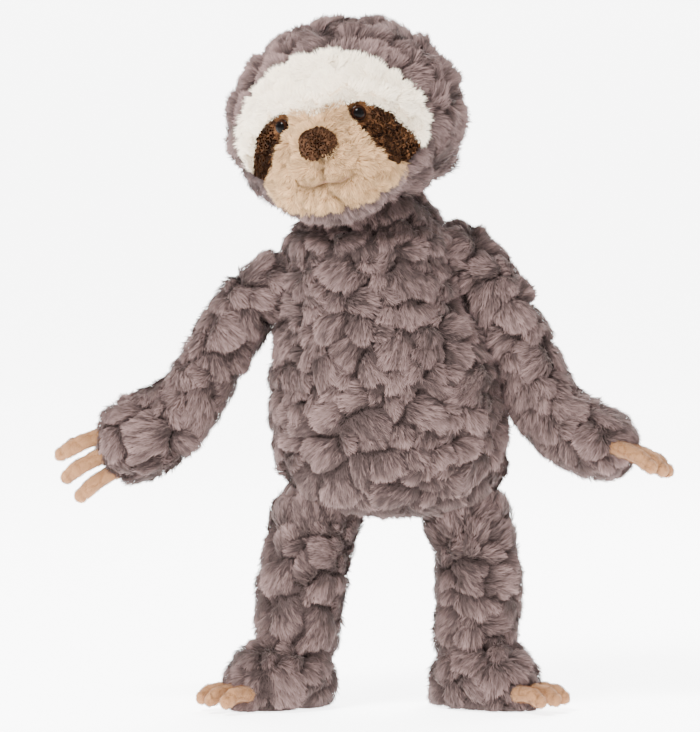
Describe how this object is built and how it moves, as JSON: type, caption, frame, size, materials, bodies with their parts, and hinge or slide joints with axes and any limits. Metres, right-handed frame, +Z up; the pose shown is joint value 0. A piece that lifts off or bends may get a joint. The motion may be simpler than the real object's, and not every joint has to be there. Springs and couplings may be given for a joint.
{
  "type": "plush sloth",
  "caption": "Stuffed sloth with a hooded head, pale face with dark eye patches, long arms, short legs and clawed paws, standing on flat soles.",
  "frame": {"origin": "middle of the bounding box at floor level", "axes": "+Z up, -Y the sloth's front, +X the sloth's left side"},
  "size_m": [0.297, 0.104, 0.3332],
  "materials": {
    "taupe_fur": "matte",
    "cream_plush": "matte",
    "tan_plush": "matte",
    "brown_terry": "matte",
    "claw_plush": "matte",
    "fibre_stuffing": "matte",
    "pouch_cloth": "matte",
    "seam_allowance": "matte",
    "tan_thread": "matte",
    "eye_plastic": "gloss",
    "washer_plastic": "matte"
  },
  "bodies": {
    "torso": {"torso_skin": "taupe_fur", "torso_stuffing": "fibre_stuffing", "seat_pellet_pouch": "pouch_cloth"},
    "neck_collar": {"neck_seam": "seam_allowance"},
    "head": {"head_hood": "taupe_fur", "head_stuffing": "fibre_stuffing", "brow_panel": "cream_plush", "muzzle_panel": "tan_plush", "nose": "brown_terry", "mouth_stitch": "tan_thread", "eye_patch_left": "brown_terry", "eye_left": "eye_plastic", "eye_washer_left": "washer_plastic", "eye_patch_right": "brown_terry", "eye_right": "eye_plastic", "eye_washer_right": "washer_plastic"},
    "shoulder_collar_left": {"shoulder_seam_left": "seam_allowance"},
    "arm_left": {"arm_skin_left": "taupe_fur", "arm_stuffing_left": "fibre_stuffing"},
    "hand_left_1": {"hand_claw_left_1": "claw_plush"},
    "hand_left_2": {"hand_claw_left_2": "claw_plush"},
    "hand_left_3": {"hand_claw_left_3": "claw_plush"},
    "hip_collar_left": {"hip_seam_left": "seam_allowance"},
    "leg_left": {"leg_skin_left": "taupe_fur", "leg_stuffing_left": "fibre_stuffing"},
    "foot_left_1": {"foot_claw_left_1": "claw_plush"},
    "foot_left_2": {"foot_claw_left_2": "claw_plush"},
    "foot_left_3": {"foot_claw_left_3": "claw_plush"},
    "shoulder_collar_right": {"shoulder_seam_right": "seam_allowance"},
    "arm_right": {"arm_skin_right": "taupe_fur", "arm_stuffing_right": "fibre_stuffing"},
    "hand_right_1": {"hand_claw_right_1": "claw_plush"},
    "hand_right_2": {"hand_claw_right_2": "claw_plush"},
    "hand_right_3": {"hand_claw_right_3": "claw_plush"},
    "hip_collar_right": {"hip_seam_right": "seam_allowance"},
    "leg_right": {"leg_skin_right": "taupe_fur", "leg_stuffing_right": "fibre_stuffing"},
    "foot_right_1": {"foot_claw_right_1": "claw_plush"},
    "foot_right_2": {"foot_claw_right_2": "claw_plush"},
    "foot_right_3": {"foot_claw_right_3": "claw_plush"}
  },
  "joints": [
    {"name": "neck_turn", "type": "hinge", "parent": "torso", "child": "neck_collar", "pos_m": [0.004, 0.00865, 0.222], "axis": [0, 0, 1], "range_deg": [-30, 30]},
    {"name": "head_nod", "type": "hinge", "parent": "neck_collar", "child": "head", "pos_m": [0.004, 0.00865, 0.222], "axis": [1, 0, 0], "range_deg": [-12, 15]},
    {"name": "shoulder_swing_left", "type": "hinge", "parent": "torso", "child": "shoulder_collar_left", "pos_m": [0.04491, 0.00865, 0.21707], "axis": [-1, 0, 0], "range_deg": [-50, 80]},
    {"name": "shoulder_lift_left", "type": "hinge", "parent": "shoulder_collar_left", "child": "arm_left", "pos_m": [0.04491, 0.00865, 0.21707], "axis": [0, -1, 0], "range_deg": [-4, 65]},
    {"name": "hip_swing_left", "type": "hinge", "parent": "torso", "child": "hip_collar_left", "pos_m": [0.04963, 0.01165, 0.093], "axis": [-1, 0, 0], "range_deg": [-25, 60]},
    {"name": "hip_spread_left", "type": "hinge", "parent": "hip_collar_left", "child": "leg_left", "pos_m": [0.04963, 0.01165, 0.093], "axis": [0, -1, 0], "range_deg": [-6, 22]},
    {"name": "finger_bend_left_1", "type": "hinge", "parent": "arm_left", "child": "hand_left_1", "pos_m": [0.11967, -0.01677, 0.12813], "axis": [0.4177, 0.8977, -0.1401], "range_deg": [-20, 30], "stiffness_Nm_per_rad": 0.004},
    {"name": "finger_bend_left_2", "type": "hinge", "parent": "arm_left", "child": "hand_left_2", "pos_m": [0.12514, -0.00957, 0.12634], "axis": [0.4177, 0.8977, -0.1401], "range_deg": [-20, 30], "stiffness_Nm_per_rad": 0.004},
    {"name": "finger_bend_left_3", "type": "hinge", "parent": "arm_left", "child": "hand_left_3", "pos_m": [0.12718, -0.00061, 0.12561], "axis": [0.4177, 0.8977, -0.1401], "range_deg": [-20, 30], "stiffness_Nm_per_rad": 0.004},
    {"name": "toe_bend_left_1", "type": "hinge", "parent": "leg_left", "child": "foot_left_1", "pos_m": [0.07406, -0.01301, 0.0095], "axis": [0.5736, 0.8191, 0], "range_deg": [-25, 5], "stiffness_Nm_per_rad": 0.004},
    {"name": "toe_bend_left_2", "type": "hinge", "parent": "leg_left", "child": "foot_left_2", "pos_m": [0.08086, -0.00678, 0.0095], "axis": [0.5736, 0.8191, 0], "range_deg": [-25, 5], "stiffness_Nm_per_rad": 0.004},
    {"name": "toe_bend_left_3", "type": "hinge", "parent": "leg_left", "child": "foot_left_3", "pos_m": [0.08439, 0.00174, 0.0095], "axis": [0.5736, 0.8191, 0], "range_deg": [-25, 5], "stiffness_Nm_per_rad": 0.004},
    {"name": "shoulder_swing_right", "type": "hinge", "parent": "torso", "child": "shoulder_collar_right", "pos_m": [-0.04156, 0.00865, 0.20401], "axis": [-1, 0, 0], "range_deg": [-50, 80]},
    {"name": "shoulder_lift_right", "type": "hinge", "parent": "shoulder_collar_right", "child": "arm_right", "pos_m": [-0.04156, 0.00865, 0.20401], "axis": [0, 1, 0], "range_deg": [-12, 60]},
    {"name": "hip_swing_right", "type": "hinge", "parent": "torso", "child": "hip_collar_right", "pos_m": [-0.02237, 0.01165, 0.093], "axis": [-1, 0, 0], "range_deg": [-25, 60]},
    {"name": "hip_spread_right", "type": "hinge", "parent": "hip_collar_right", "child": "leg_right", "pos_m": [-0.02237, 0.01165, 0.093], "axis": [0, 1, 0], "range_deg": [-6, 22]},
    {"name": "finger_bend_right_1", "type": "hinge", "parent": "arm_right", "child": "hand_right_1", "pos_m": [-0.11849, 0.00273, 0.11616], "axis": [0.4362, 0, -0.8998], "range_deg": [-20, 30], "stiffness_Nm_per_rad": 0.004},
    {"name": "finger_bend_right_2", "type": "hinge", "parent": "arm_right", "child": "hand_right_2", "pos_m": [-0.12421, 0.00262, 0.12339], "axis": [0.4362, 0, -0.8998], "range_deg": [-20, 30], "stiffness_Nm_per_rad": 0.004},
    {"name": "finger_bend_right_3", "type": "hinge", "parent": "arm_right", "child": "hand_right_3", "pos_m": [-0.12634, 0.00273, 0.13236], "axis": [0.4362, 0, -0.8998], "range_deg": [-20, 30], "stiffness_Nm_per_rad": 0.004},
    {"name": "toe_bend_right_1", "type": "hinge", "parent": "leg_right", "child": "foot_right_1", "pos_m": [-0.06551, 0.00174, 0.0095], "axis": [0.5736, -0.8191, 0], "range_deg": [-25, 5], "stiffness_Nm_per_rad": 0.004},
    {"name": "toe_bend_right_2", "type": "hinge", "parent": "leg_right", "child": "foot_right_2", "pos_m": [-0.06198, -0.00678, 0.0095], "axis": [0.5736, -0.8191, 0], "range_deg": [-25, 5], "stiffness_Nm_per_rad": 0.004},
    {"name": "toe_bend_right_3", "type": "hinge", "parent": "leg_right", "child": "foot_right_3", "pos_m": [-0.05518, -0.01301, 0.0095], "axis": [0.5736, -0.8191, 0], "range_deg": [-25, 5], "stiffness_Nm_per_rad": 0.004}
  ]
}
